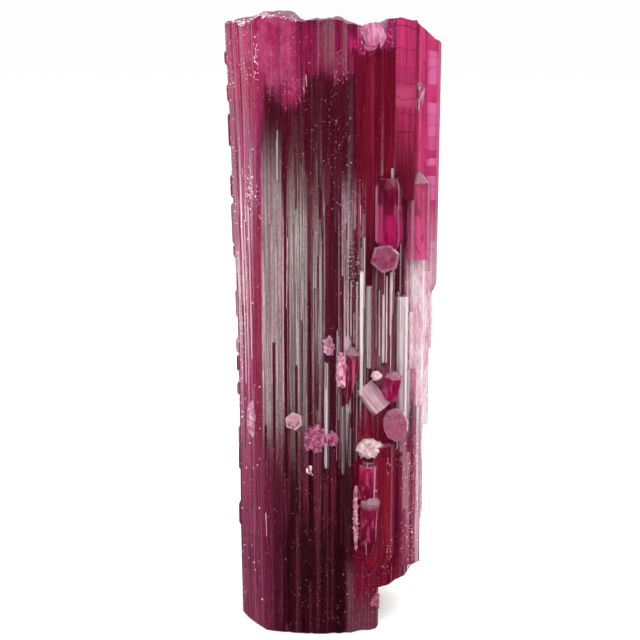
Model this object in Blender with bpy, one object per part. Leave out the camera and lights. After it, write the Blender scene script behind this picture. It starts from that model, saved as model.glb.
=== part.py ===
"""A pink-red tourmaline crystal, standing on a flat cut base.

Metres, +Z up, front towards -Y. One closed solid: a striated trunk, a striated bundle of columns
grown along its right side, needles in the groove between the two, small prisms and lumps on the
front, and broken ends.
"""

import bmesh
import bpy
import math
import random
from mathutils import Matrix, Vector, noise

MM = 0.001

NAME = "tourmaline_crystal"
CUT_SIZE = 60.0 * MM

# Plan of the trunk at half height, anticlockwise from its left edge.
TRUNK_PLAN = [
    (-13.8, 1.5), (-13.5, -3.4), (-11.7, -7.4), (-9.7, -10.3), (-3.4, -11.6), (2.9, -11.2),
    (6.2, -9.9), (8.0, -6.0), (8.6, 0.0), (7.4, 6.6), (3.4, 11.6), (-2.4, 13.75), (-7.8, 11.8),
    (-11.7, 7.2),
]
TRUNK_MIDDLE = 3.0  # the taper moves what is left and right of this X
TRUNK_LEFT = [
    (-2, -13.3), (12, -13.6), (30, -13.6), (46, -13.8), (62, -14.3), (75, -14.65), (84, -15.1), (88, -15.4),
]
TRUNK_RIGHT = [(-2, 7.0), (9, 7.4), (20, 8.6), (88, 8.6)]
TRUNK_LEVELS = [-2, 12, 30, 46, 62, 75, 84, 92]
TRUNK_RELIEF = 0.26
RIB_WIDTH = 1.55

# Plan of the right-hand bundle at two thirds of the height.
BUNDLE_PLAN = [
    (2.0, -9.3), (5.8, -9.7), (9.8, -9.0), (12.3, -7.3), (13.8, -4.2), (14.2, 0.4), (13.5, 4.9),
    (11.0, 8.4), (6.8, 10.3), (2.0, 10.3),
]
BUNDLE_MIDDLE = 4.0
BUNDLE_LEFT = [(5, 2.0), (88, 2.0)]
BUNDLE_RIGHT = [(4, 12.3), (27, 13.1), (38, 13.75), (48.6, 14.15), (49.4, 14.3), (88, 14.6)]
BUNDLE_LEVELS = [3, 14, 27, 38, 48.6, 49.4, 62, 75, 92]
BUNDLE_RELIEF = 0.24

# Height of the broken top and of the bundle's broken foot, from left to right.
TOP_EDGE = [
    (-15.6, 86.6), (-13.9, 87.2), (-11.5, 87.5), (-9.9, 88.4), (-7.5, 88.4), (-5.4, 88.0), (-4.0, 87.3),
    (0.9, 87.7), (2.5, 87.0), (4.5, 86.6), (6.3, 87.0), (7.9, 87.7), (11.7, 87.2), (12.8, 86.3),
    (14.1, 85.0), (15.2, 84.6), (15.7, 83.8),
]
FOOT_EDGE = [(2.0, 5.0), (6.3, 5.7), (9.9, 6.7), (12.5, 7.5)]
FOOT_RISE = 0.25

# The chip out of the front of the top, between the trunk and the columns.
CHIP_X = (3.6, 7.6)
CHIP_BACK = -6.0
CHIP_RUN = 5.0
CHIP_DEPTH = 4.4

BREAK_SIZE = 44 * MM
BREAK_CELLS = 26
BREAK_GRAIN = 2.6 * MM
TOP_ROUGHNESS = 0.5 * MM
FOOT_ROUGHNESS = 0.7 * MM


def along(points, at):
    """Height of a line through points at one place along it."""
    if at <= points[0][0]:
        return points[0][1]
    for (start, low), (end, high) in zip(points, points[1:]):
        if at <= end:
            return low + (high - low) * (at - start) / (end - start)
    return points[-1][1]


def ribbed_plan(plan, rib_width, relief, seed):
    """A plan whose sides are cut into flat ribs that stand a little out or in."""
    rng = random.Random(seed)
    points = []
    for corner, following in zip(plan, plan[1:] + plan[:1]):
        start = Vector(corner)
        side = Vector(following) - start
        outward = Vector((side.y, -side.x)).normalized()
        points.append(start)
        margin = 0.3 / side.length
        count = max(1, round(side.length / rib_width))
        marks = [margin]
        for index in range(1, count):
            marks.append((index + rng.uniform(-0.28, 0.28)) / count)
        marks.append(1 - margin)
        for near, far in zip(marks, marks[1:]):
            lift = outward * rng.uniform(-relief, relief)
            points.append(start + side * near + lift)
            points.append(start + side * far + lift)
    return points


def tapered(point, z, middle, left, right, plan):
    """A plan point moved sideways so that the outline follows its left and right edges."""
    low = min(corner[0] for corner in plan)
    high = max(corner[0] for corner in plan)
    if point.x < middle:
        share = (middle - point.x) / (middle - low)
        return Vector((point.x + (along(left, z) - low) * share, point.y))
    share = (point.x - middle) / (high - middle)
    return Vector((point.x + (along(right, z) - high) * share, point.y))


def striated_column(name, plan, seed, relief, levels, middle, left, right):
    """A ribbed column drawn up through its levels, flat at both ends."""
    outline = ribbed_plan(plan, RIB_WIDTH, relief, seed)
    bm = bmesh.new()
    bmesh.ops.create_circle(bm, segments=len(outline), radius=MM)
    ring = list(bm.verts)
    edges = list(bm.edges)
    for index, z in enumerate(levels):
        if index > 0:
            made = bmesh.ops.extrude_edge_only(bm, edges=edges)["geom"]
            ring = [item for item in made if isinstance(item, bmesh.types.BMVert)]
            edges = [item for item in made if isinstance(item, bmesh.types.BMEdge)]
            edges = [edge for edge in edges if edge.verts[0] in ring and edge.verts[1] in ring]
        for vert, point in zip(ring, outline):
            place = tapered(point, z, middle, left, right, plan)
            vert.co = Vector((place.x, place.y, z)) * MM
    bmesh.ops.holes_fill(bm, edges=[edge for edge in bm.edges if edge.is_boundary], sides=0)
    return finished(name, bm)


def broken_block(name, height, roughness, far):
    """A block whose near side is a broken face: an uneven grid drawn out to a far plane."""
    bm = bmesh.new()
    bmesh.ops.create_grid(bm, x_segments=BREAK_CELLS, y_segments=BREAK_CELLS, size=BREAK_SIZE / 2)
    for vert in bm.verts:
        dip = roughness * noise.noise(Vector((vert.co.x, vert.co.y, far)) / BREAK_GRAIN)
        vert.co.z = height(vert.co.x / MM, vert.co.y / MM) * MM + dip
    made = bmesh.ops.extrude_face_region(bm, geom=list(bm.faces))["geom"]
    for item in made:
        if isinstance(item, bmesh.types.BMVert):
            item.co.z = far
    return finished(name, bm)


def finished(name, bm):
    """Turns a bmesh into an object of flat triangles with its faces outwards."""
    bmesh.ops.recalc_face_normals(bm, faces=bm.faces)
    bmesh.ops.triangulate(bm, faces=bm.faces)
    mesh = bpy.data.meshes.new(name)
    bm.to_mesh(mesh)
    bm.free()
    return bpy.data.objects.new(name, mesh)


def prism(name, at, radius, length, cap=0.0, foot=0.0, sides=6, turn=0.0, tilt=(0.0, 0.0), point=0.3):
    """A small prism standing on a place, with a flat or pyramid end at the top and at the foot."""
    bm = bmesh.new()
    body = length - cap - foot
    lift = Matrix.Translation((0, 0, foot * MM + body * MM / 2))
    bmesh.ops.create_cone(
        bm, cap_ends=True, segments=sides, radius1=radius * MM, radius2=radius * MM, depth=body * MM, matrix=lift
    )
    for end, reach in ((1, cap), (-1, foot)):
        if reach == 0:
            continue
        face = max(bm.faces, key=lambda item: end * item.calc_center_median().z)
        made = bmesh.ops.extrude_discrete_faces(bm, faces=[face])["faces"][0]
        for vert in made.verts:
            vert.co.x *= point
            vert.co.y *= point
            vert.co.z += end * reach * MM
    place = Matrix.Translation(Vector(at) * MM)
    lean = Matrix.Rotation(math.radians(tilt[1]), 4, "Y") @ Matrix.Rotation(math.radians(tilt[0]), 4, "X")
    spin = Matrix.Rotation(math.radians(turn), 4, "Z")
    bmesh.ops.transform(bm, matrix=place @ lean @ spin, verts=bm.verts)
    return finished(name, bm)


def lump(name, at, size, seed, detail=2, rough=0.22):
    """A rough rounded lump."""
    bm = bmesh.new()
    bmesh.ops.create_icosphere(bm, subdivisions=detail, radius=1.0)
    shift = Vector((seed * 3.7, seed * 1.9, seed * 2.3))
    for vert in bm.verts:
        vert.co *= 1 + rough * noise.noise(vert.co * 1.9 + shift)
    bmesh.ops.scale(bm, verts=bm.verts, vec=Vector(size) * MM)
    bmesh.ops.translate(bm, verts=bm.verts, vec=Vector(at) * MM)
    return finished(name, bm)


def trunk():
    """The main column."""
    return striated_column(
        NAME, TRUNK_PLAN, 11, TRUNK_RELIEF, TRUNK_LEVELS, TRUNK_MIDDLE, TRUNK_LEFT, TRUNK_RIGHT
    )


def bundle():
    """The right-hand columns grown together."""
    return striated_column(
        "bundle", BUNDLE_PLAN, 23, BUNDLE_RELIEF, BUNDLE_LEVELS, BUNDLE_MIDDLE, BUNDLE_LEFT, BUNDLE_RIGHT
    )


def top_height(x, y):
    """Height of the broken top, with the chip out of its front."""
    z = along(TOP_EDGE, x)
    if CHIP_X[0] < x < CHIP_X[1]:
        z -= CHIP_DEPTH * min(1, max(0, (CHIP_BACK - y) / CHIP_RUN))
    return z


def foot_height(x, y):
    """Height of the broken foot of the right-hand bundle."""
    return along(FOOT_EDGE, x) + FOOT_RISE * max(0, y + 6)


def columns():
    """The long columns that stand out of the right-hand side."""
    made = [
        prism("column_a", (10.0, -7.75, 62.0), 2.05, 25.4, sides=9, turn=10),
        prism("column_b", (12.45, -4.2, 49.3), 2.75, 35.3, sides=9, turn=3, tilt=(0, 0.35)),
        prism("column_shoulder", (11.9, -6.3, 52.0), 1.5, 34.4, sides=8, turn=12),
        prism("lower_right_column", (6.35, -9.1, 8.6), 3.05, 19.6, foot=2.6, sides=9, turn=4),
        prism("lower_far_column", (10.4, -6.6, 8.9), 2.7, 30.0, foot=0.6, sides=9, turn=21),
        prism("front_column", (5.1, -8.6, -2.0), 1.9, 10.5, sides=8, turn=9),
    ]
    return made


def needles():
    """Thin prisms side by side in the groove, each ending at its own height."""
    rows = [
        (3.3, -10.9, 12.0, 66.0, 0.55), (4.3, -10.6, 36.5, 62.5, 0.45), (5.2, -10.4, 38.5, 71.0, 0.6),
        (6.3, -10.2, 39.5, 60.0, 0.5), (7.3, -10.0, 33.0, 54.0, 0.6), (8.4, -9.8, 38.5, 68.0, 0.55),
        (2.1, -11.5, 24.0, 49.0, 0.5), (1.0, -11.6, 26.5, 43.5, 0.6), (-0.4, -11.7, 33.0, 64.0, 0.55),
        (-4.9, -11.5, 31.0, 71.0, 0.6), (-7.7, -11.0, 8.0, 76.0, 0.7), (-6.3, -11.2, 33.0, 66.0, 0.5),
        (-2.6, -11.8, 30.0, 80.0, 0.8), (11.5, -8.2, 20.0, 54.0, 0.7), (12.6, -7.0, 12.0, 46.0, 0.6),
    ]
    made = []
    for index, (x, y, low, high, radius) in enumerate(rows):
        name = f"needle_{index + 1}"
        made.append(prism(name, (x, y, low), radius, high - low, sides=6, turn=7 * index))
    made.append(prism("flat_topped_needle", (10.0, -9.2, 31.0), 0.95, 18.4, sides=6, turn=16))
    return made


def left_edge_steps():
    """Ribs that start and stop down the left edge."""
    rows = [(62.6, 3.2), (54.2, 2.4), (37.6, 4.4), (33.4, 2.0), (13.2, 3.6), (76.2, 3.0)]
    made = []
    for index, (low, length) in enumerate(rows):
        edge = along(TRUNK_LEFT, low + length / 2)
        at = (edge + 0.42, -1.2 + 0.5 * math.sin(index * 2.4), low)
        made.append(prism(f"left_step_{index + 1}", at, 0.85, length, cap=0.5, foot=0.5, sides=6, turn=11 * index))
    return made


def small_crystals():
    """The small prisms on the front: their places, sizes and leans."""
    return [
        prism("double_ended", (8.0, -10.4, 56.6), 2.0, 9.8, cap=1.3, foot=0.9, turn=10, point=0.5),
        prism("pyramid_topped", (12.2, -8.1, 54.6), 1.8, 12.3, cap=1.3, turn=4, point=0.12),
        prism("end_on_upper", (7.4, -6.6, 54.3), 2.15, 5.8, turn=20, tilt=(80, 3)),
        prism("dark_pair", (2.4, -11.7, 35.0), 1.35, 7.3, foot=1.4, turn=13, tilt=(0, 4)),
        prism("leaning", (6.5, -11.1, 33.9), 1.6, 4.9, turn=5, tilt=(8, -35)),
        prism("dark_stub", (8.2, -10.2, 33.4), 1.25, 5.3, turn=26),
        prism("end_on_middle", (9.2, -7.6, 30.4), 2.1, 4.7, sides=8, turn=8, tilt=(80, -6)),
        prism("stub_upper", (5.1, -11.9, 20.6), 1.45, 5.6, cap=0.5, turn=8, tilt=(4, 2), point=0.6),
        prism("stub_lower", (5.2, -12.1, 12.4), 1.5, 8.6, cap=0.6, foot=2.0, turn=20, tilt=(3, 3), point=0.5),
        prism("end_on_left", (-5.4, -10.2, 32.1), 1.3, 2.9, turn=9, tilt=(66, -32)),
    ]


def lumps():
    """The rough rounded growths."""
    return [
        lump("white_lump", (5.5, -11.0, 27.2), (1.9, 1.6, 1.7), 1),
        lump("druse_left", (-2.5, -11.9, 29.6), (1.4, 1.1, 1.9), 2),
        lump("druse_right", (-0.2, -11.8, 29.4), (1.2, 0.9, 1.1), 3),
        lump("druse_low", (-2.0, -11.8, 27.6), (1.1, 0.8, 1.1), 9, detail=1),
        lump("knob", (-0.4, -11.9, 42.6), (0.9, 0.9, 1.5), 4, detail=1),
        lump("rough_side", (1.2, -11.7, 38.9), (1.0, 1.3, 2.6), 5, detail=1),
        lump("white_cap", (6.6, -10.9, 38.6), (0.95, 0.9, 0.8), 6, detail=1),
        lump("rim_lump", (3.4, -12.0, 18.0), (0.6, 0.9, 5.4), 7, detail=1),
        lump("foot_lump", (6.1, -8.8, 4.4), (1.4, 1.3, 2.0), 8, detail=1),
    ]


def base_cut():
    """The block that cuts the foot off flat."""
    bm = bmesh.new()
    bmesh.ops.create_cube(bm, size=CUT_SIZE)
    bmesh.ops.translate(bm, verts=bm.verts, vec=(0, 0, -CUT_SIZE / 2))
    return finished("base_cut", bm)


def boolean(target, name, operation, collection):
    """Adds a Boolean of a whole collection."""
    modifier = target.modifiers.new(name, "BOOLEAN")
    modifier.operation = operation
    modifier.operand_type = "COLLECTION"
    modifier.collection = collection
    modifier.solver = "EXACT"


def crystal_material():
    """Clear pink-red tourmaline."""
    material = bpy.data.materials.new("tourmaline")
    material.use_nodes = True
    shader = material.node_tree.nodes["Principled BSDF"]
    shader.inputs["Base Color"].default_value = (0.52, 0.08, 0.21, 1)
    shader.inputs["Roughness"].default_value = 0.2
    shader.inputs["Metallic"].default_value = 0.0
    shader.inputs["IOR"].default_value = 1.62
    return material


def collection_of(name, objects, helper):
    """A collection that holds some objects; helpers only shape others."""
    collection = bpy.data.collections.new(name)
    bpy.context.scene.collection.children.link(collection)
    for item in objects:
        collection.objects.link(item)
        item.hide_render = helper
        if helper:
            item.display_type = "WIRE"
    return collection


def main():
    for item in list(bpy.data.objects):
        bpy.data.objects.remove(item)
    crystal = trunk()
    crystal.data.materials.append(crystal_material())
    collection_of("tourmaline", [crystal], False)
    foot_cut = broken_block("foot_cut", foot_height, FOOT_ROUGHNESS, -6 * MM)
    top_cut = broken_block("top_cut", top_height, TOP_ROUGHNESS, 100 * MM)
    side = bundle()
    boolean(side, "break_foot", "DIFFERENCE", collection_of("foot_cutters", [foot_cut], True))
    grown = [side] + columns() + needles() + left_edge_steps() + small_crystals() + lumps()
    growths = collection_of("growths", grown, True)
    cutters = collection_of("cutters", [base_cut(), top_cut], True)
    boolean(crystal, "grow_together", "UNION", growths)
    boolean(crystal, "cut_ends", "DIFFERENCE", cutters)


main()
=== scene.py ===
import math
import random

import bmesh
import bpy
from mathutils import Matrix, Vector, noise
from mathutils.bvhtree import BVHTree


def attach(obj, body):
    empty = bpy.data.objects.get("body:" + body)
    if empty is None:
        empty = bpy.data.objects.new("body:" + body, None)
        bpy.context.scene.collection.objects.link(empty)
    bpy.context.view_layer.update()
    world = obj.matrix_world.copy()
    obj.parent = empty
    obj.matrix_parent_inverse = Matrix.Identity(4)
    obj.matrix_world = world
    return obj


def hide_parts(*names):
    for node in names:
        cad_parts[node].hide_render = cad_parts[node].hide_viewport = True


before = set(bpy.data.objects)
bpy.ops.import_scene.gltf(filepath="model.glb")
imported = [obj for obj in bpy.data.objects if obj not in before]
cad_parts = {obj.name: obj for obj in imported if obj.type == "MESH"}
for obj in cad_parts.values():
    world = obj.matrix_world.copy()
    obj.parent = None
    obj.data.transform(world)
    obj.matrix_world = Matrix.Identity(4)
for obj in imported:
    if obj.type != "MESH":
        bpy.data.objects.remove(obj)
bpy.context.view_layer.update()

mm = 0.001
outside = 40  # clear of the crystal, for rays that look for its surface
scene = bpy.context.scene


def along(points, at):
    # value of a broken line through points
    if at <= points[0][0]:
        return points[0][1]
    for (start, low), (end, high) in zip(points, points[1:]):
        if at <= end:
            return low + (high - low) * (at - start) / (end - start)
    return points[-1][1]


def newObject(name, bm, material=None):
    bmesh.ops.recalc_face_normals(bm, faces=bm.faces)
    mesh = bpy.data.meshes.new(name)
    bm.to_mesh(mesh)
    bm.free()
    piece = bpy.data.objects.new(name, mesh)
    scene.collection.objects.link(piece)
    if material:
        mesh.materials.append(material)
    return piece


def grown(piece):
    # every piece is part of the one crystal
    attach(piece, "root")
    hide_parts("tourmaline_crystal")
    print(piece.name + ":", len(piece.data.polygons), "faces")
    return piece


def joinSolids(name, main, others, operation="UNION"):
    # one closed mesh from several, then the helpers go
    helpers = bpy.data.collections.new("helpers")
    scene.collection.children.link(helpers)
    for other in others:
        helpers.objects.link(other)
    step = main.modifiers.new("join", "BOOLEAN")
    step.operation = operation
    step.operand_type = "COLLECTION"
    step.collection = helpers
    step.solver = "MANIFOLD"
    depsgraph = bpy.context.evaluated_depsgraph_get()
    mesh = bpy.data.meshes.new_from_object(main.evaluated_get(depsgraph))
    mesh.name = name
    mesh.materials.clear()
    joined = bpy.data.objects.new(name, mesh)
    scene.collection.objects.link(joined)
    for item in [main] + list(others):
        bpy.data.objects.remove(item)
    bpy.data.collections.remove(helpers)
    return joined


def surfaceOf(body):
    return BVHTree.FromObject(body, bpy.context.evaluated_depsgraph_get())


def frontAt(surface, x, z):
    # the point of the front that lies behind x and z in millimetres
    return surface.ray_cast(Vector((x, -outside, z)) * mm, Vector((0, 1, 0)))[0]


trunkShape = {
    # plan at half height, anticlockwise from the left edge: x, y, strip width, strip tilt in degrees
    "plan": [
        (-13.75, 1.6, 0.45, 9), (-13.45, -3.3, 0.34, 14), (-12.6, -5.4, 0.34, 14), (-11.4, -7.6, 0.30, 14),
        (-9.75, -10.2, 0.22, 8), (-8.2, -10.75, 0.17, 7), (-6.75, -11.1, 0.3, 15), (-6.35, -10.95, 0.3, 14),
        (-5.85, -11.3, 0.16, 7), (-3.35, -11.62, 0.25, 14), (-3.0, -11.42, 0.25, 14),
        (-2.6, -11.7, 0.17, 7), (-0.9, -11.75, 0.26, 5), (0.3, -11.34, 0.24, 5), (1.2, -11.65, 0.22, 12),
        (2.0, -11.2, 0.26, 12), (2.9, -11.3, 0.3, 12), (4.3, -10.5, 0.3, 12), (6.2, -10.0, 0.3, 12),
        (8.0, -6.0, 0.6, 8), (8.6, 0.0, 0.6, 8), (7.4, 6.6, 0.5, 8), (3.4, 11.5, 0.5, 8),
        (-2.4, 13.55, 0.5, 8), (-7.8, 11.6, 0.5, 8), (-11.7, 7.1, 0.5, 8),
    ],
    "seed": 31,
    "middle": 3.0,  # the taper moves what is left and right of this x
    "left": [
        (-2, -13.3), (12, -13.55), (30, -13.55), (46, -13.75), (62, -14.25), (75, -14.6), (84, -15.05),
        (88, -15.3),
    ],
    "right": [(-2, 7.0), (9, 7.4), (20, 8.6), (88, 8.6)],
    "levels": [-2, *range(4, 85, 5), 92],
    "wander": 0.045,
    "ribbedSides": 18,
    "ribsFrom": -1,
}

bundleShape = {
    "plan": [
        (2.0, -9.3, 0.4, 8), (5.8, -9.6, 0.34, 12), (9.8, -8.9, 0.34, 12), (12.25, -7.2, 0.34, 12),
        (13.7, -4.1, 0.36, 12), (14.15, 0.4, 0.5, 8), (13.4, 4.9, 0.5, 8), (11.0, 8.3, 0.5, 8),
        (6.8, 10.2, 0.5, 8), (2.0, 10.2, 1.0, 0),
    ],
    "seed": 47,
    "middle": 4.0,
    "left": [(5, 2.0), (88, 2.0)],
    "right": [(4, 12.25), (27, 13.0), (38, 13.65), (48.6, 14.05), (49.4, 14.2), (88, 14.5)],
    "levels": [3, 8, 14, 20, 27, 33, 38, 43, 48.6, 49.4, 56, 62, 68, 75, 81, 92],
    "wander": 0.05,
    "ribbedSides": 6,
    "ribsFrom": 9,
}

strips = {
    "margin": 0.06,  # left beside each corner of the plan
    "stray": 0.35,  # share of a strip that its edges may stray
    "stand": (-0.02, 0.03),
    "driftStep": 0.77,  # how fast the drift changes from strip to strip
    "driftRun": 11,  # and up the column
}


def planSides(plan):
    # each side's row, start, run and outward direction
    for row, (nextX, nextY, _, _) in zip(plan, plan[1:] + plan[:1]):
        start = Vector(row[:2])
        side = Vector((nextX, nextY)) - start
        yield row, start, side, Vector((side.y, -side.x)).normalized()


def stripOutline(plan, seed):
    # cuts each side into narrow strips, each turned a little to its own side
    rng = random.Random(seed)
    outline = []
    for (_, _, width, tilt), start, side, outward in planSides(plan):
        outline.append((start, Vector((0, 0))))
        if tilt == 0:
            continue
        count = max(1, round(side.length / width))
        margin = strips["margin"] / side.length
        marks = [margin]
        for index in range(1, count):
            marks.append((index + rng.uniform(-strips["stray"], strips["stray"])) / count)
        marks.append(1 - margin)
        for near, far in zip(marks, marks[1:]):
            slope = math.tan(math.radians(rng.uniform(-tilt, tilt)))
            half = slope * (far - near) * side.length / 2
            stand = rng.uniform(*strips["stand"])
            outline.append((start + side * near + outward * (stand - half), outward))
            outline.append((start + side * far + outward * (stand + half), outward))
    return outline


def placeOnEdges(point, z, shape):
    # shifts a plan point so the silhouette follows the left and right edges
    xs = [corner[0] for corner in shape["plan"]]
    if point.x < shape["middle"]:
        share = (shape["middle"] - point.x) / (shape["middle"] - min(xs))
        return point.x + (along(shape["left"], z) - min(xs)) * share
    share = (point.x - shape["middle"]) / (max(xs) - shape["middle"])
    return point.x + (along(shape["right"], z) - max(xs)) * share


def madeVerts(made):
    return [item for item in made["geom"] if isinstance(item, bmesh.types.BMVert)]


def drawUp(count, levels, place):
    # a closed ring carried up through its levels; place gives each point in millimetres
    bm = bmesh.new()
    bmesh.ops.create_circle(bm, segments=count, radius=mm)
    ring = list(bm.verts)
    edges = list(bm.edges)
    for index, level in enumerate(levels):
        if index > 0:
            made = bmesh.ops.extrude_edge_only(bm, edges=edges)
            ring = madeVerts(made)
            edges = [item for item in made["geom"] if isinstance(item, bmesh.types.BMEdge)]
            edges = [edge for edge in edges if edge.verts[0] in ring and edge.verts[1] in ring]
        for order, vert in enumerate(ring):
            vert.co = place(order, level) * mm
    bmesh.ops.holes_fill(bm, edges=[edge for edge in bm.edges if edge.is_boundary], sides=0)
    bmesh.ops.triangulate(bm, faces=[face for face in bm.faces if len(face.verts) > 4])
    return bm


def stripedColumn(name, shape):
    outline = stripOutline(shape["plan"], shape["seed"])

    def place(order, z):
        point, outward = outline[order]
        drift = noise.noise(Vector((order * strips["driftStep"], z / strips["driftRun"], shape["seed"])))
        moved = point + outward * drift * shape["wander"]
        return Vector((placeOnEdges(moved, z, shape), moved.y, z))

    return newObject(name, drawUp(len(outline), shape["levels"], place))


ribs = {
    "perMillimetre": 1.0,
    "radius": (0.10, 0.28),
    "length": (5, 34),
    "low": (-1, 80),
    "highest": 91,
    "stand": 0.26,  # share of the radius that stands out
    "across": (0.04, 0.96),  # where along a side a rib may grow
    "sides": 6,
    "segment": 12,
    "point": 0.55,
    "seed": 5,
    "stepSink": 0.55,  # share of an edge step's radius inside the edge
    "stepTurn": 0.3,
    # low, length, radius and y of the ribs that end down the left edge
    "edgeSteps": [
        (62.6, 2.6, 0.42, -1.0), (56.0, 5.2, 0.34, -2.2), (53.8, 1.2, 0.42, -0.6), (39.9, 1.4, 0.5, -1.4),
        (36.8, 1.8, 0.52, -0.4), (33.6, 1.2, 0.4, -1.8), (13.4, 2.8, 0.4, -1.0), (76.2, 1.8, 0.34, -0.5),
        (70.0, 4.0, 0.3, -2.0), (22.0, 6.0, 0.3, -1.2), (45.0, 3.4, 0.3, -0.9), (81.5, 1.2, 0.36, -1.2),
    ],
}


def rib(name, shape, centre, radius, low, high, turn):
    # one thin prism that follows the taper of the column that it grew on
    def place(order, level):
        z, share = level
        angle = math.tau * order / ribs["sides"] + turn
        point = centre + Vector((math.cos(angle), math.sin(angle))) * radius * share
        return Vector((placeOnEdges(point, z, shape), point.y, z))

    steps = max(1, round((high - low) / ribs["segment"]))
    levels = [(low + (high - low) * index / steps, 1) for index in range(steps + 1)]
    levels = [(low - radius, ribs["point"])] + levels + [(high + radius, ribs["point"])]
    return newObject(name, drawUp(ribs["sides"], levels, place))


def makeRibs(shape):
    # ribs start and stop at their own heights all over a column
    rng = random.Random(ribs["seed"] + shape["seed"])
    made = []
    for _, start, side, outward in list(planSides(shape["plan"]))[:shape["ribbedSides"]]:
        for index in range(math.ceil(side.length * ribs["perMillimetre"])):
            radius = rng.uniform(*ribs["radius"])
            low = max(shape["ribsFrom"], rng.uniform(*ribs["low"]))
            high = min(ribs["highest"], low + rng.uniform(*ribs["length"]))
            centre = start + side * rng.uniform(*ribs["across"]) - outward * radius * (1 - ribs["stand"])
            made.append(rib("rib", shape, centre, radius, low, high, rng.uniform(0, 1)))
    return made


def makeEdgeSteps():
    made = []
    for low, length, radius, y in ribs["edgeSteps"]:
        centre = Vector((trunkShape["plan"][0][0] + radius * ribs["stepSink"], y))
        made.append(rib("edgeStep", trunkShape, centre, radius, low, low + length, ribs["stepTurn"]))
    return made


breakShape = {
    "top": [
        (-15.6, 86.5), (-13.9, 87.1), (-11.5, 87.4), (-9.9, 88.15), (-7.5, 88.2), (-5.4, 87.9), (-4.0, 87.2),
        (0.9, 87.6), (2.5, 86.9), (4.5, 86.5), (6.3, 86.9), (7.9, 87.6), (11.7, 87.1), (12.8, 86.2),
        (14.1, 84.9), (15.2, 84.5), (15.7, 83.7),
    ],
    "foot": [(2.0, 5.0), (6.3, 5.7), (9.9, 6.7), (12.5, 7.5)],
    "footRise": 0.25,
    "footRiseFrom": -6,
    "tilt": [(-9.0, 0.45), (12.0, -1.2)],  # lift from front to back, on the right part only
    "tiltFrom": [(-5.0, 0.0), (-3.0, 1.0)],
    "highest": 88.5,
    "chipX": (3.6, 7.6),
    "chipBack": -6.0,
    "chipRun": 5.0,
    "chipDepth": 4.4,
    "cells": 90,
    "size": 44,
    "coarse": (0.42, 2.4),  # height and size of the steps in the break
    "fine": (0.2, 0.8),
    "topEnd": 100,  # how far the cutting blocks reach
    "footEnd": -6,
    "baseSize": 60,
}


def breakHeight(x, y, which):
    if which == "foot":
        return along(breakShape["foot"], x) + breakShape["footRise"] * max(0, y - breakShape["footRiseFrom"])
    z = along(breakShape["top"], x) + along(breakShape["tiltFrom"], x) * along(breakShape["tilt"], y)
    low, high = breakShape["chipX"]
    if low < x < high:
        bulge = math.sin(math.pi * (x - low) / (high - low)) ** 0.5
        run = min(1, max(0, (breakShape["chipBack"] - y) / breakShape["chipRun"]))
        z -= breakShape["chipDepth"] * run * bulge
    return z


def breakBlock(which):
    # a block with one broken face, to cut the columns off with
    bm = bmesh.new()
    cells = breakShape["cells"]
    far = breakShape[which + "End"]
    bmesh.ops.create_grid(bm, x_segments=cells, y_segments=cells, size=breakShape["size"] * mm / 2)
    for vert in bm.verts:
        x, y = vert.co.x / mm, vert.co.y / mm
        z = breakHeight(x, y, which)
        for height, grain in (breakShape["coarse"], breakShape["fine"]):
            z += height * noise.noise(Vector((x, y, far)) / grain)
        vert.co.z = min(z, breakShape["highest"]) * mm
    for vert in madeVerts(bmesh.ops.extrude_face_region(bm, geom=list(bm.faces))):
        vert.co.z = far * mm
    bmesh.ops.triangulate(bm, faces=bm.faces)
    return newObject(which + "Block", bm)


def leaning(degrees, size):
    # turned about x, then about y
    about = [math.radians(angle) for angle in degrees]
    return Matrix.Rotation(about[1], size, "Y") @ Matrix.Rotation(about[0], size, "X")


def prism(name, at, radius, length, cap=0, foot=0, sides=6, turn=0, lean=(0, 0), point=0.3,
          strip=0.5, tilt=6, deep=1.0, seed=0):
    # a striated prism on its own place, flat or pointed at either end; lean is in degrees about x and y
    corners = []
    for index in range(sides):
        angle = math.tau * index / sides + math.radians(turn)
        corners.append((radius * math.cos(angle), radius * math.sin(angle), strip, tilt))
    outline = stripOutline(corners, seed)
    levels = [(foot, 1), (length - cap, 1)]
    if foot:
        levels.insert(0, (0, point))
    if cap:
        levels.append((length, point))
    stand = leaning(lean, 4)

    def place(order, level):
        flat = outline[order][0] * level[1]
        return Vector(at) + stand @ Vector((flat.x, flat.y * deep, level[0]))

    return newObject(name, drawUp(len(outline), levels, place))


bodyColumns = {
    # columns that have grown together with the body
    "columnShoulder": dict(
        at=(11.9, -6.1, 52.0), radius=1.45, length=34.2, sides=8, turn=10, strip=0.4, tilt=3,
    ),
    "lowerRight": dict(
        at=(6.35, -9.1, 8.6), radius=3.0, length=19.4, foot=2.6, sides=9, turn=38, strip=0.35, tilt=5,
    ),
    "lowerFar": dict(at=(10.4, -6.6, 8.9), radius=2.65, length=29.8, foot=0.6, sides=9, turn=21, strip=0.4),
    "frontColumn": dict(at=(5.1, -8.6, -2.0), radius=1.85, length=10.4, sides=8, turn=9),
}


def makeBodyColumns():
    return [prism(name, seed=seed, **shape) for seed, (name, shape) in enumerate(bodyColumns.items(), 1)]


def clearedTree(owner):
    owner.use_nodes = True
    owner.node_tree.nodes.clear()
    return adder(owner.node_tree)


def adder(tree):
    # adds a node; a value that is a socket is linked, and a colour gets its alpha of 1
    def add(kind, values=None, **settings):
        node = tree.nodes.new(kind)
        for key, value in settings.items():
            setattr(node, key, value)
        for key, value in (values or {}).items():
            socket = node.inputs[key]
            if isinstance(value, bpy.types.NodeSocket):
                tree.links.new(value, socket)
            else:
                socket.default_value = (*value, 1) if socket.type == "RGBA" else value
        return node
    return add


def maths(add, operation, first, second=0.0):
    return add("ShaderNodeMath", {0: first, 1: second}, operation=operation).outputs[0]


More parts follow.
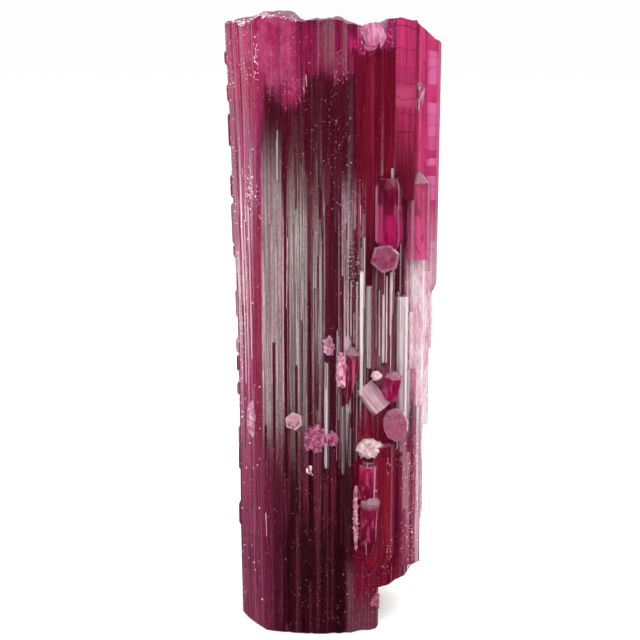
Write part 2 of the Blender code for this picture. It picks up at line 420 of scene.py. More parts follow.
def vectorMaths(add, operation, first, second):
    return add("ShaderNodeVectorMath", {0: first, 1: second}, operation=operation).outputs[0]


def scaled(add, colour, amount):
    return add("ShaderNodeVectorMath", {0: colour, "Scale": amount}, operation="SCALE").outputs[0]


def mixColour(add, factor, first, second):
    mixed = add("ShaderNodeMix", {"Factor": factor, "A": first, "B": second}, data_type="RGBA")
    return mixed.outputs["Result"]


def remap(add, value, low, high, toLow=0.0, toHigh=1.0, **settings):
    values = {"Value": value, "From Min": low, "From Max": high, "To Min": toLow, "To Max": toHigh}
    return add("ShaderNodeMapRange", values, **settings).outputs[0]


def axisOf(add, vector, axis):
    return add("ShaderNodeSeparateXYZ", {0: vector}).outputs[axis]


def firstChannel(add, colour):
    return add("ShaderNodeSeparateColor", {0: colour}).outputs[0]


def noiseTone(add, place, scale, detail, roughness=0.5):
    values = {"Vector": place, "Scale": scale, "Detail": detail, "Roughness": roughness}
    return add("ShaderNodeTexNoise", values).outputs[0]


def bumped(add, height, strength, distance):
    values = {"Height": height, "Strength": strength, "Distance": distance}
    return add("ShaderNodeBump", values).outputs[0]


def newGroup(name, kind, places, numbers, outs, outKind="Float"):
    # places are inputs of one kind, numbers are inputs with a default
    group = bpy.data.node_groups.new(name, "ShaderNodeTree")
    for label in places:
        group.interface.new_socket(label, in_out="INPUT", socket_type="NodeSocket" + kind)
    for label, default in numbers.items():
        socket = group.interface.new_socket(label, in_out="INPUT", socket_type="NodeSocketFloat")
        socket.default_value = default
    for label in outs:
        group.interface.new_socket(label, in_out="OUTPUT", socket_type="NodeSocket" + outKind)
    add = adder(group)
    return group, add, add("NodeGroupInput").outputs


def makeZoneGroup():
    # a soft-edged block of the crystal in millimetres, seen from the front
    group, add, given = newGroup("zone", "Vector", ["Place", "Middle", "Half", "Softness"], {}, ["Mask"])
    offset = vectorMaths(add, "SUBTRACT", given["Place"], given["Middle"])
    size = add("ShaderNodeVectorMath", {0: offset}, operation="ABSOLUTE").outputs[0]
    past = vectorMaths(add, "SUBTRACT", size, given["Half"])
    split = add("ShaderNodeSeparateXYZ", {0: vectorMaths(add, "DIVIDE", past, given["Softness"])}).outputs
    most = maths(add, "MAXIMUM", split["X"], split["Z"])
    add("NodeGroupOutput", {"Mask": remap(add, most, -1.0, 1.0, 1.0, 0.0, interpolation_type="SMOOTHSTEP")})
    return group


def makeStreakGroup():
    # soft tone in long streaks, coarse and fine
    numbers = {"Width": 1.0, "Length": 20.0, "Seed": 0.0}
    group, add, given = newGroup("streaks", "Vector", ["Place"], numbers, ["Tone", "Fine"])
    across = maths(add, "DIVIDE", 1.0, given["Width"])
    lengthwise = maths(add, "DIVIDE", 1.0, given["Length"])
    scale = add("ShaderNodeCombineXYZ", {"X": across, "Y": across, "Z": lengthwise}).outputs[0]
    stretched = vectorMaths(add, "MULTIPLY", given["Place"], scale)
    tones = []
    for scale, detail, roughness in ((1.0, 3.0, 0.6), (4.0, 2.0, 0.7)):
        tones.append(add("ShaderNodeTexNoise", {
            "Vector": stretched, "W": given["Seed"], "Scale": scale, "Detail": detail, "Roughness": roughness,
        }, noise_dimensions="4D").outputs[0])
    add("NodeGroupOutput", {"Tone": tones[0], "Fine": tones[1]})
    return group


def makeStriaeGroup():
    # straight-edged bars round the crystal, each with its own tone and its own ends
    numbers = {"Width": 0.3, "Length": 20.0, "Seed": 0.0}
    group, add, given = newGroup("striae", "Vector", ["Place"], numbers, ["Tone"])
    crystalRadius = 12.0
    shuffle = 9.0  # lengths by which the ends of neighbouring bars may differ
    split = add("ShaderNodeSeparateXYZ", {0: given["Place"]}).outputs
    turn = maths(add, "ARCTAN2", split["X"], maths(add, "MULTIPLY", split["Y"], -1.0))
    arc = maths(add, "MULTIPLY", turn, crystalRadius)
    key = maths(add, "ADD", maths(add, "FLOOR", maths(add, "DIVIDE", arc, given["Width"])), given["Seed"])
    shift = add("ShaderNodeTexWhiteNoise", {"W": key}, noise_dimensions="1D").outputs["Value"]
    run = maths(add, "DIVIDE", split["Z"], given["Length"])
    run = maths(add, "ADD", run, maths(add, "MULTIPLY", shift, shuffle))
    cell = add("ShaderNodeCombineXYZ", {"X": key, "Y": maths(add, "FLOOR", run)}).outputs[0]
    tone = add("ShaderNodeTexWhiteNoise", {"Vector": cell}, noise_dimensions="3D").outputs["Value"]
    add("NodeGroupOutput", {"Tone": tone})
    return group


def makeSpeckGroup():
    # scattered small round specks
    numbers = {"Spacing": 1.0, "Size": 0.1, "Share": 0.5}
    group, add, given = newGroup("specks", "Vector", ["Place"], numbers, ["Mask"])
    closer = maths(add, "DIVIDE", 1.0, given["Spacing"])
    cells = add("ShaderNodeTexVoronoi", {"Vector": given["Place"], "Scale": closer}).outputs
    inside = maths(add, "LESS_THAN", cells["Distance"], given["Size"])
    kept = maths(add, "LESS_THAN", firstChannel(add, cells["Color"]), given["Share"])
    add("NodeGroupOutput", {"Mask": maths(add, "MULTIPLY", inside, kept)})
    return group


def makeFrostGroup():
    # broken faces that look up are paler
    group, add, given = newGroup("frost", "Color", ["Colour", "Frost"], {}, ["Colour"], "Color")
    up = axisOf(add, add("ShaderNodeNewGeometry").outputs["Normal"], "Z")
    share = remap(add, up, 0.35, 0.75, toHigh=0.8)  # upward slope it starts and ends at, and the most frost
    add("NodeGroupOutput", {"Colour": mixColour(add, share, given["Colour"], given["Frost"])})
    return group


groups = {
    "zone": makeZoneGroup(),
    "streaks": makeStreakGroup(),
    "striae": makeStriaeGroup(),
    "specks": makeSpeckGroup(),
    "frost": makeFrostGroup(),
}
print("shader groups:", len(groups))

crystalIor = 1.62
noiseSpan = (0.3, 0.7)  # where most of a noise's values lie


def grouped(add, name, **values):
    # a placed group; Place is given as place, Width as width and so on
    values = {key.capitalize(): value for key, value in values.items()}
    return add("ShaderNodeGroup", values, node_tree=groups[name]).outputs


def withStreaks(add, colour, streak, tone):
    # each fine streak a little lighter or darker
    return scaled(add, colour, remap(add, streak["Fine"], *noiseSpan, *tone))


def withSpecks(add, colour, place, look):
    mask = grouped(add, "specks", place=place, **look["specks"])[0]
    return mixColour(add, mask, colour, look["speck"])


def paintZones(add, place, bars, base, zones, barBlur=0.08):
    # zones: colour, left, right, low, high, side blur, end blur, strength, share left out bar by bar
    colour = base
    for tint, left, right, low, high, sideBlur, endBlur, strength, grain in zones:
        middle = ((left + right) / 2, 0, (low + high) / 2)
        half = ((right - left) / 2, 0, (high - low) / 2)
        mask = grouped(add, "zone", place=place, middle=middle, half=half, softness=(sideBlur, 1, endBlur))[0]
        if grain:
            strength = remap(add, bars, grain - barBlur, grain + barBlur, 0.0, strength)
        colour = mixColour(add, maths(add, "MULTIPLY", mask, strength), colour, tint)
    return colour


def startMaterial(name):
    # the material, its adder and the place in millimetres
    material = bpy.data.materials.new(name)
    add = clearedTree(material)
    coords = add("ShaderNodeTexCoord").outputs["Object"]
    place = add("ShaderNodeMapping", {"Vector": coords, "Scale": (1000, 1000, 1000)}).outputs[0]
    return material, add, place


def finish(add, look, colour, rough, height):
    # the shader, and in clear crystal the colour taken up inside; rough and height are noises
    shader = add("ShaderNodeBsdfPrincipled", {
        "Base Color": colour, "Roughness": remap(add, rough, *look["rough"]),
        "Normal": bumped(add, height, *look["bump"]), "IOR": crystalIor,
        "Transmission Weight": look.get("transmission", 0.0),
    })
    ends = {"Surface": shader.outputs[0]}
    if "absorb" in look:
        volume = add("ShaderNodeVolumeAbsorption", {"Color": look["absorb"], "Density": look["density"]})
        ends["Volume"] = volume.outputs[0]
    add("ShaderNodeOutputMaterial", ends)


bodyLook = {
    "wine": (0.075, 0.006, 0.018),
    "transmission": 0.6,
    "absorb": (0.95, 0.5, 0.68),
    "density": 60,
    "streaks": dict(width=0.9, length=24),
    "streakTone": (0.7, 1.3),  # darkest and lightest
    "bars": dict(width=0.13, length=22),
    "barTone": (0.62, 1.38),
    "grooves": dict(width=0.36, length=22, seed=5.0),
    "etchNoise": (4.5, 2.0, 0.8),  # scale, detail and roughness
    "etchTone": (0.72, 1.28),
    "rough": (0.4, 0.65, 0.05, 0.22),  # noise from and to, roughness from and to
    "bump": (0.25, 0.00002),  # strength and distance
    "zoneSway": (0.5, 0, 8),  # how far the streaks push the zones about
    # colour, left, right, low, high, side blur, end blur, strength, share of bars left out
    "zones": [
        # magenta left side, with pale bars over it that are painted highlights
        ((0.42, 0.032, 0.150), -20, -9.7, -5, 95, 0.3, 2, 1.0, 0),
        ((0.66, 0.30, 0.43), -20, -11.0, 24, 66, 0.6, 6, 0.8, 0.5),
        ((0.56, 0.17, 0.30), -20, -10.6, 20, 80, 0.5, 4, 0.5, 0.7),
        ((0.34, 0.012, 0.075), -11.3, -9.9, 28, 62, 0.2, 3, 0.85, 0),
        ((0.95, 0.80, 0.84), -13.7, -12.0, 41, 54, 0.3, 3, 1.0, 0.22),
        ((0.90, 0.66, 0.74), -13.0, -11.2, 36, 68, 0.3, 5, 1.0, 0.66),
        # bright top: painted glow where light comes through the thin broken end
        ((0.50, 0.040, 0.15), -20, -9.4, 75, 95, 0.8, 4, 1.0, 0),
        ((0.52, 0.050, 0.165), -9.6, -4.3, 79.5, 95, 0.8, 2, 0.95, 0),
        ((0.60, 0.20, 0.31), -9.0, -6.3, 78.8, 85.5, 0.3, 0.6, 0.6, 0.4),
        ((0.55, 0.19, 0.29), -5.7, -3.5, 78.8, 85.3, 0.3, 0.6, 0.6, 0.45),
        ((0.46, 0.024, 0.12), -6.7, -4.3, 76.8, 79.5, 0.7, 1.2, 0.9, 0),
        ((0.27, 0.012, 0.075), -5.5, 3.0, 80, 95, 0.8, 1.2, 0.95, 0),
        ((0.30, 0.12, 0.16), -2.0, 2.3, 81, 90, 0.2, 2, 0.8, 0.5),
        ((0.60, 0.02, 0.19), 2.4, 4.2, 83.6, 85, 0.3, 0.5, 1.0, 0),
        ((0.52, 0.035, 0.19), 3.4, 9.8, 83.8, 90, 0.3, 0.6, 0.95, 0),
        # crimson panels behind the columns
        ((0.17, 0.004, 0.022), 3.3, 9.8, 57, 84, 0.2, 3, 1.0, 0),
        ((0.22, 0.008, 0.034), 4.3, 6.0, 62, 84, 0.1, 3, 0.8, 0.3),
        # silvery bands down the front: painted reflection of a light in the flat faces
        ((0.40, 0.33, 0.335), -9.75, -6.9, 27, 68, 0.05, 7, 1.0, 0.2),
        ((0.31, 0.27, 0.265), -5.9, -3.35, 26, 64, 0.05, 8, 1.0, 0.2),
        ((0.27, 0.20, 0.21), -2.6, -0.9, 28, 60, 0.05, 8, 1.0, 0.3),
        # painted highlight along the sharp left edge of the front
        ((0.80, 0.70, 0.73), -9.75, -9.25, 38, 54, 0.05, 4, 1.0, 0.15),
        ((0.20, 0.05, 0.08), -9.75, 1.2, 25, 66, 0.1, 6, 0.6, 0.8),
        ((0.44, 0.30, 0.36), 1.2, 4.6, 53, 64.5, 0.3, 3, 0.8, 0.5),
        ((0.76, 0.62, 0.66), 1.4, 4.6, 30, 52, 0.2, 5, 1.0, 0.55),
        ((0.36, 0.09, 0.16), 4.4, 9.8, 30, 52, 0.2, 5, 0.9, 0.4),
        ((0.60, 0.34, 0.42), -6.9, -6.1, 30, 62, 0.05, 5, 0.95, 0.25),
        # dark wine low down, painted shade, redder to the right
        ((0.024, 0.002, 0.007), -8.8, 3.4, -3, 26, 2.4, 5, 0.8, 0),
        ((0.15, 0.026, 0.052), -9.7, 3.4, -3, 28, 0.2, 5, 0.7, 0.8),
        ((0.18, 0.02, 0.05), -8.0, 1.5, 17, 30, 1.0, 4, 0.7, 0.5),
        ((0.25, 0.07, 0.12), 2.4, 6.8, -3, 9, 0.6, 3, 0.9, 0),
        ((0.25, 0.007, 0.036), 3.3, 9.8, 4, 32, 0.3, 3, 0.95, 0),
        ((0.32, 0.016, 0.022), 7.3, 8.3, 13, 24, 0.4, 4, 0.6, 0),
        ((0.36, 0.045, 0.125), 9.8, 20, 4, 31, 0.4, 3, 0.95, 0),
        ((0.70, 0.38, 0.48), 9.8, 20, 12, 34, 0.4, 5, 0.85, 0.6),
        ((0.25, 0.025, 0.080), -20, -8.3, -3, 26, 2.4, 6, 0.85, 0),
        ((0.46, 0.09, 0.21), -20, -10.2, -3, 26, 0.6, 5, 0.6, 0.65),
        # pale right side, magenta above it
        ((0.60, 0.18, 0.31), 10.4, 20, 34, 54, 0.4, 3, 0.95, 0),
        ((0.86, 0.64, 0.72), 10.6, 20, 32, 52, 0.4, 4, 0.95, 0.2),
        ((0.84, 0.075, 0.25), 11.4, 20, 56, 95, 0.3, 3, 0.95, 0),
        ((0.95, 0.80, 0.85), 11.4, 13.6, 45, 53.5, 0.3, 2, 0.95, 0.25),
        ((0.95, 0.76, 0.83), 13.5, 20, 48, 66, 0.2, 4, 0.95, 0.12),
    ],
    "speck": (0.60, 0.38, 0.46),
    "specks": dict(spacing=0.55, size=0.11, share=0.10),
    # on broken faces that look up
    "frost": (0.68, 0.29, 0.43),
    "frostDeep": (0.42, 0.050, 0.17),
    "frostNoise": (0.5, 4.0, 0.65),
    "frostSpan": (0.42, 0.56),
    # clouds below the broken top, in millimetres
    "clouds": dict(middle=(-10.2, 0, 84.5), half=(5.2, 0, 5.5), softness=(0.8, 1, 3.0)),
    "cloudDeep": (0.40, 0.020, 0.11),
    "cloudPale": (0.60, 0.105, 0.25),
    "cloudNoise": (0.45, 5.0, 0.65),
    "cloudSpan": (0.42, 0.6),
    "cloudShare": 0.7,
}


def bodyMaterial():
    look = bodyLook
    material, add, place = startMaterial("clearTourmaline")
    streak = grouped(add, "streaks", place=place, **look["streaks"])
    bars = grouped(add, "striae", place=place, **look["bars"])[0]
    grooves = grouped(add, "striae", place=place, **look["grooves"])[0]
    # zone edges wander with the streaks
    sway = scaled(add, look["zoneSway"], maths(add, "SUBTRACT", streak["Tone"], 0.5))
    warped = vectorMaths(add, "ADD", place, sway)
    colour = paintZones(add, warped, grooves, look["wine"], look["zones"])
    # each bar and each streak a little lighter or darker
    barTone = remap(add, bars, 0.0, 1.0, *look["barTone"])
    streakTone = remap(add, streak["Fine"], *noiseSpan, *look["streakTone"])
    colour = scaled(add, colour, maths(add, "MULTIPLY", barTone, streakTone))
    etched = noiseTone(add, place, *look["etchNoise"])
    colour = scaled(add, colour, remap(add, etched, *noiseSpan, *look["etchTone"]))
    drift = noiseTone(add, place, *look["cloudNoise"])
    cloud = mixColour(add, remap(add, drift, *look["cloudSpan"]), look["cloudDeep"], look["cloudPale"])
    veil = maths(add, "MULTIPLY", grouped(add, "zone", place=warped, **look["clouds"])[0], look["cloudShare"])
    colour = mixColour(add, veil, colour, cloud)
    colour = withSpecks(add, colour, place, look)
    broken = noiseTone(add, place, *look["frostNoise"])
    frost = mixColour(add, remap(add, broken, *look["frostSpan"]), look["frostDeep"], look["frost"])
    colour = grouped(add, "frost", colour=colour, frost=frost)[0]
    finish(add, look, colour, etched, streak["Fine"])
    return material


def makeBody():
    side = joinSolids("bundle", stripedColumn("bundle", bundleShape), [breakBlock("foot")], "DIFFERENCE")
    trunk = stripedColumn("trunk", trunkShape)
    growths = [side] + makeBodyColumns() + makeRibs(trunkShape) + makeRibs(bundleShape) + makeEdgeSteps()
    joined = joinSolids("joined", trunk, growths)
    bm = bmesh.new()
    size = breakShape["baseSize"] * mm
    bmesh.ops.create_cube(bm, size=size)
    bmesh.ops.translate(bm, verts=bm.verts, vec=(0, 0, -size / 2))
    baseBlock = newObject("baseBlock", bm)
    body = joinSolids("body", joined, [breakBlock("top"), baseBlock], "DIFFERENCE")
    body.data.materials.append(bodyMaterial())
    return grown(body)


smallLook = {
    # what a crystal below doesn't give itself
    "transmission": 0.65,
    "absorb": (0.96, 0.30, 0.55),
    "density": 150,
    "bevel": 0.1,
    "corner": 0.075,
    "sharpAngle": 0.6,
    "rough": (0.35, 0.7, 0.03, 0.14),
    "bump": (0.2, 0.00002),
    "streaks": dict(width=0.6, length=14.0),
    "streakTone": (0.8, 1.2),
    "bars": dict(width=1.6, length=9.0),
    "barTone": (0.82, 1.2),
    "wave": (-0.5, 0.5),  # how far up and down the foot's colour ends
    # colour of the painted highlight on the rims
    "rim": (0.72, 0.40, 0.52),
    "rimmed": False,  # every sloping face is rim, not the bevels alone
    "rimSlope": (0.2, 0.95),
    "rimHighlightSpan": (0.38, 0.5, 0.1, 0.95),
    "frost": (0.62, 0.30, 0.42),
    "glint": (0.88, 0.15, 0.36),
    "glints": 0.4,  # share of the glint colour in the patches that flash
    "shards": (2.0, 2.0, 0.9),
    "flash": (0.82, 0.86),
    "dark": (0.14, 0.18),
    "crack": (0.10, 0.003, 0.02),
    "cracks": 0,  # millimetres between cracks, 0 for none
    "crackWidth": (0.01, 0.04),
    "crackDepth": (0.5, 0.1, 0.8),  # share of the radius they lie in front of, blur, strength
    "crackShare": (0.25, 0.6, 0.1, 0.8),
    "layerNoise": (0.35, 1.0),
    "layerWave": (-0.4, 0.4),
    "layerSlope": (0.05, 0.06, 1),
    "layerTone": (0.86, 1.12),
    # colour, left, right, low, high, share of bars left out
    # on several crystals below the stripes are painted highlights and painted shade
    "stripes": [],
    "stripeSoft": (0.3, 0.5, 0.9),  # side blur as a share of the width, end blur, strength
    "broken": False,
    "firstSeed": 20,
}

denseColumn = dict(transmission=0.5, absorb=(0.72, 0.10, 0.30), density=700, glints=0, broken=True)

smallCrystals = {
    # head and foot colours, and the heights between which one turns into the other
    "columnA": {
        "shape": dict(
            at=(10.38, -8.0, 63.0), radius=2.0, length=28, foot=0.4, sides=4, turn=33, strip=0.9, tilt=2,
            point=0.9,
        ),
        "head": (0.58, 0.042, 0.155), "foot": (0.19, 0.009, 0.032), "turnsAt": (67, 80), "cracks": 2.4,
        "stripes": [
            # a dark strip of painted shade on the right face, and a band of painted highlight
            ((0.20, 0.006, 0.03), 11.5, 12.4, 60, 90, 0), ((0.62, 0.075, 0.19), 8.4, 11.2, 76, 78.5, 0),
        ],
        **denseColumn,
    },
    "columnB": {
        "shape": dict(
            at=(12.4, -4.2, 49.3), radius=2.7, length=40, foot=1.0, sides=9, turn=3, lean=(0, 0.35),
            strip=0.8, tilt=2.5, point=0.85,
        ),
        "head": (0.68, 0.055, 0.20), "foot": (0.80, 0.46, 0.58), "turnsAt": (52, 62), "cracks": 1.5,
        "stripes": [((0.84, 0.20, 0.47), 13.5, 14.6, 58, 83.5, 0.35)],
        **denseColumn,
    },
    "doubleEnded": {
        "shape": dict(
            at=(8.0, -10.2, 56.3), radius=2.0, length=9.9, cap=1.3, foot=1.2, turn=12, point=0.66, strip=0.6,
            tilt=3,
        ),
        "head": (0.22, 0.008, 0.045), "foot": (0.56, 0.010, 0.125), "turnsAt": (59.8, 61.8),
        "stripes": [
            # painted highlights: pale lines on both edges and bright patches
            ((0.80, 0.34, 0.48), 5.9, 6.35, 57, 66, 0), ((0.66, 0.26, 0.40), 9.15, 9.3, 57, 65.5, 0),
            ((0.90, 0.10, 0.32), 6.2, 7.0, 58, 62.5, 0.3), ((0.62, 0.018, 0.16), 7.6, 9.2, 58, 61, 0.5),
        ],
        "frost": (0.15, 0.018, 0.06),
    },
    "pyramidTopped": {
        "shape": dict(
            at=(12.2, -8.1, 54.6), radius=1.75, length=12.2, cap=1.4, turn=17, point=0.12, strip=0.6, tilt=3,
        ),
        "head": (0.60, 0.08, 0.20), "foot": (0.86, 0.12, 0.34), "turnsAt": (57, 65),
        "stripes": [((0.50, 0.33, 0.36), 10, 14, 65.7, 67.5, 0), ((0.95, 0.42, 0.60), 11.1, 11.5, 54, 65, 0)],
    },
    "brightNeedle": {
        "shape": dict(
            at=(4.2, -11.55, 35.6), radius=0.34, length=17.9, cap=0.3, sides=4, turn=45, strip=0.6, tilt=2,
        ),
        "head": (0.68, 0.58, 0.60), "foot": (0.62, 0.50, 0.53), "turnsAt": (36, 42),
        "transmission": 0.5, "glints": 0,
    },
    "greyColumn": {
        "shape": dict(
            at=(5.3, -11.0, 39.4), radius=0.5, length=11.8, cap=0.2, foot=0.35, turn=3, strip=0.6, point=0.6,
        ),
        "head": (0.52, 0.40, 0.43), "foot": (0.50, 0.38, 0.40), "turnsAt": (42, 46), "glints": 0,
        # a pale line of painted highlight on the left, a dark line of painted shade on the right
        "stripes": [((0.80, 0.70, 0.72), 5.0, 5.15, 39, 52, 0), ((0.20, 0.03, 0.06), 5.55, 5.8, 39, 52, 0)],
    },
    "endOnUpper": {
        "shape": dict(
            at=(7.4, -6.6, 54.3), radius=2.1, length=5.7, cap=0.3, point=0.86, turn=20, lean=(80, 3),
            strip=0.8, tilt=3,
        ),
        "head": (0.52, 0.12, 0.24), "foot": (0.44, 0.08, 0.18), "turnsAt": (53, 57),
        "rimmed": True, "rim": (0.66, 0.32, 0.43), "barTone": (0.92, 1.08),
    },
    "flatTopped": {
        "shape": dict(at=(9.95, -9.15, 31.0), radius=0.95, length=18.4, turn=3, strip=0.3, tilt=8),
        "head": (0.70, 0.59, 0.62), "foot": (0.66, 0.50, 0.55), "turnsAt": (36, 44),
        "stripes": [
            ((0.50, 0.14, 0.24), 9.5, 9.65, 30, 49, 0.3), ((0.36, 0.24, 0.27), 10.2, 10.4, 30, 48, 0),
        ],
        "transmission": 0.5, "glints": 0,
    },
    "darkPair": {
        "shape": dict(
            at=(2.2, -11.5, 34.3), radius=1.4, length=8.3, cap=0.9, foot=4.2, turn=18, lean=(0, 5), strip=0.5,
            tilt=6, point=0.15,
        ),
        "head": (0.30, 0.018, 0.07), "foot": (0.22, 0.005, 0.03), "turnsAt": (37, 40),
        "stripes": [((0.30, 0.20, 0.21), 1, 4.5, 41.5, 43, 0), ((0.74, 0.16, 0.32), 2.9, 3.3, 35, 41, 0)],
    },
    "leaning": {
        "shape": dict(
            at=(7.1, -10.9, 33.4), radius=1.6, length=4.2, turn=-6, lean=(-8, -38), strip=0.3, tilt=5,
        ),
        # the crimson foot is painted shade on the end face
        "head": (0.66, 0.43, 0.50), "foot": (0.40, 0.03, 0.10), "turnsAt": (32.2, 33.4),
        "barTone": (0.5, 1.3), "glints": 0.2, "transmission": 0.5,
    },
    "darkStub": {
        "shape": dict(
            at=(8.1, -10.15, 34.2), radius=1.3, length=4.8, cap=0.6, foot=0.8, turn=20, lean=(12, 10),
            strip=0.5, tilt=5,
        ),
        "head": (0.50, 0.16, 0.26), "foot": (0.42, 0.009, 0.10), "turnsAt": (38.1, 38.7),
        # the hot pink stripe is a painted glint
        "stripes": [((0.85, 0.12, 0.32), 7.2, 7.9, 36.0, 36.5, 0)],
    },
    "endOnMiddle": {
        "shape": dict(
            at=(9.2, -7.6, 30.6), radius=1.85, length=4.6, cap=0.3, point=0.88, sides=10, turn=8,
            lean=(80, -6), strip=0.8, tilt=3, deep=1.3,
        ),
        "head": (0.62, 0.20, 0.33), "foot": (0.46, 0.10, 0.21), "turnsAt": (28, 33),
        "rimmed": True, "rim": (0.64, 0.27, 0.40), "barTone": (0.95, 1.05),
    },
    "stubUpper": {
        "shape": dict(
            at=(5.1, -11.8, 20.6), radius=1.4, length=5.5, cap=0.5, turn=17, lean=(4, 2), point=0.6,
        ),
        "head": (0.56, 0.018, 0.125), "foot": (0.28, 0.008, 0.045), "turnsAt": (22, 25),
        "stripes": [((0.85, 0.36, 0.52), 6.0, 6.2, 20, 25.5, 0)], "frost": (0.10, 0.015, 0.04),
    },
    "stubLower": {
        "shape": dict(
            at=(5.2, -12.0, 12.4), radius=1.45, length=8.5, cap=0.6, foot=2.4, turn=15, lean=(3, 3),
            point=0.5, tilt=4,
        ),
        "head": (0.38, 0.013, 0.07), "foot": (0.18, 0.005, 0.027), "turnsAt": (14, 19),
        "stripes": [((0.46, 0.28, 0.34), 3, 8, 19.6, 22, 0), ((0.72, 0.24, 0.38), 6.3, 6.5, 14, 19, 0.2)],
    },
    "endOnLeft": {
        "shape": dict(
            at=(-4.75, -10.2, 31.2), radius=1.3, length=2.8, cap=0.15, point=0.85, turn=9, lean=(66, -32),
            strip=0.6, tilt=3,
        ),
        "head": (0.90, 0.58, 0.67), "foot": (0.70, 0.22, 0.36), "turnsAt": (31, 33),
        "rimmed": True, "rim": (0.96, 0.80, 0.86), "barTone": (0.92, 1.08),
    },
}


def innerGlints(add, look, own, colour):
    # patches that flash or stay dark, as facets inside do
    stretched = vectorMaths(add, "MULTIPLY", own, look["shards"])
    shards = add("ShaderNodeTexVoronoi", {"Vector": stretched, "Scale": 1.0})
    pick = firstChannel(add, shards.outputs["Color"])
    colour = mixColour(add, remap(add, pick, *look["flash"], 0.0, look["glints"]), colour, look["glint"])
    return mixColour(add, remap(add, pick, *look["dark"], look["glints"], 0.0), colour, look["crack"])


def growthLayers(add, look, place):
    # a tone for each layer across the column, and the distance to the line between two
    bend = remap(add, noiseTone(add, place, *look["layerNoise"]), *noiseSpan, *look["layerWave"])
    slope = add("ShaderNodeVectorMath", {0: place, 1: look["layerSlope"]}, operation="DOT_PRODUCT")
    run = maths(add, "DIVIDE", maths(add, "ADD", slope.outputs["Value"], bend), look["cracks"])
    cells = dict(values={"W": run, "Scale": 1.0}, voronoi_dimensions="1D")
    layers = add("ShaderNodeTexVoronoi", **cells).outputs["Color"]
    edges = add("ShaderNodeTexVoronoi", **cells, feature="DISTANCE_TO_EDGE")
    return firstChannel(add, layers), edges.outputs["Distance"]


def crackLines(add, look, place, blocks, distance):
    # on the front alone, or the side faces mirror them many times over
    share, blur, strength = look["crackDepth"]
    near = look["shape"]["at"][1] - share * look["shape"]["radius"]
    front = remap(add, axisOf(add, place, "Y"), near - blur, near + blur, strength, 0.0)
    line = maths(add, "MULTIPLY", remap(add, distance, *look["crackWidth"], 1.0, 0.0), front)
    return maths(add, "MULTIPLY", line, remap(add, blocks, *look["crackShare"]))


def smallMaterial(name, look):
    material, add, place = startMaterial(name + "Pink")
    # lines run along the crystal's own length
    lean = [math.radians(angle) for angle in look["shape"].get("lean", (0, 0))]
    own = add("ShaderNodeMapping", {
        "Vector": place, "Location": look["shape"]["at"], "Rotation": (*lean, 0),
    }, vector_type="TEXTURE").outputs[0]
    streak = grouped(add, "streaks", place=own, **look["streaks"])
    bars = grouped(add, "striae", place=own, **look["bars"])[0]
    wave = remap(add, streak["Tone"], *noiseSpan, *look["wave"])
    level = maths(add, "ADD", axisOf(add, place, "Z"), wave)
    colour = mixColour(add, remap(add, level, *look["turnsAt"]), look["foot"], look["head"])
    barTone = remap(add, bars, 0.0, 1.0, *look["barTone"])
    streakTone = remap(add, streak["Fine"], *noiseSpan, *look["streakTone"])
    colour = scaled(add, colour, maths(add, "MULTIPLY", barTone, streakTone))
    if look["glints"]:
        colour = innerGlints(add, look, own, colour)
    blocks = bars
    if look["cracks"]:
        blocks, distance = growthLayers(add, look, place)
        colour = scaled(add, colour, remap(add, blocks, 0.0, 1.0, *look["layerTone"]))
    sideBlur, endBlur, strength = look["stripeSoft"]
    stripes = [
        (tint, left, right, low, high, sideBlur * (right - left), endBlur, strength, grain)
        for tint, left, right, low, high, grain in look["stripes"]
    ]
    colour = paintZones(add, place, blocks, colour, stripes)
    if look["cracks"]:
        colour = mixColour(add, crackLines(add, look, place, blocks, distance), colour, look["crack"])
    colour = grouped(add, "frost", colour=colour, frost=look["frost"])[0]
    # painted highlight on the rims, stronger or weaker streak by streak
    edge = add("ShaderNodeAttribute", attribute_name="rim").outputs["Fac"]
    rimHighlight = maths(add, "MULTIPLY", edge, remap(add, streak["Tone"], *look["rimHighlightSpan"]))
    colour = mixColour(add, rimHighlight, colour, look["rim"])
    finish(add, look, colour, streak["Fine"], streak["Fine"])
    return material


def makeSmallCrystals():
    for index, (name, crystal) in enumerate(smallCrystals.items()):
        look = dict(smallLook, **crystal)
        piece = prism(name, seed=look["firstSeed"] + index, **look["shape"])
        if look["broken"]:
            piece = joinSolids(name, piece, [breakBlock("top")], "DIFFERENCE")
        bm = bmesh.new()
        bm.from_mesh(piece.data)
        # the material paints a pale highlight where this is 1
        rim = bm.faces.layers.float.new("rim")  # 1 on the bevels round the ends
        if not look["broken"]:
            bmesh.ops.remove_doubles(bm, verts=bm.verts, dist=look["corner"] * mm)
        sharp = [edge for edge in bm.edges if edge.calc_face_angle(0) > look["sharpAngle"]]
        cut = bmesh.ops.bevel(
            bm, geom=sharp, offset=look["bevel"] * mm, offset_type="OFFSET", affect="EDGES",
            segments=1, profile=0.5, material=-1, clamp_overlap=True,
        )
        axis = leaning(look["shape"].get("lean", (0, 0)), 3) @ Vector((0, 0, 1))
        least, most = look["rimSlope"]
        for face in bm.faces if look["rimmed"] else cut["faces"]:
            face[rim] = float(least < abs(face.normal @ axis) < most)
        bm.to_mesh(piece.data)
        bm.free()
        piece.data.materials.append(smallMaterial(name, look))
        grown(piece)


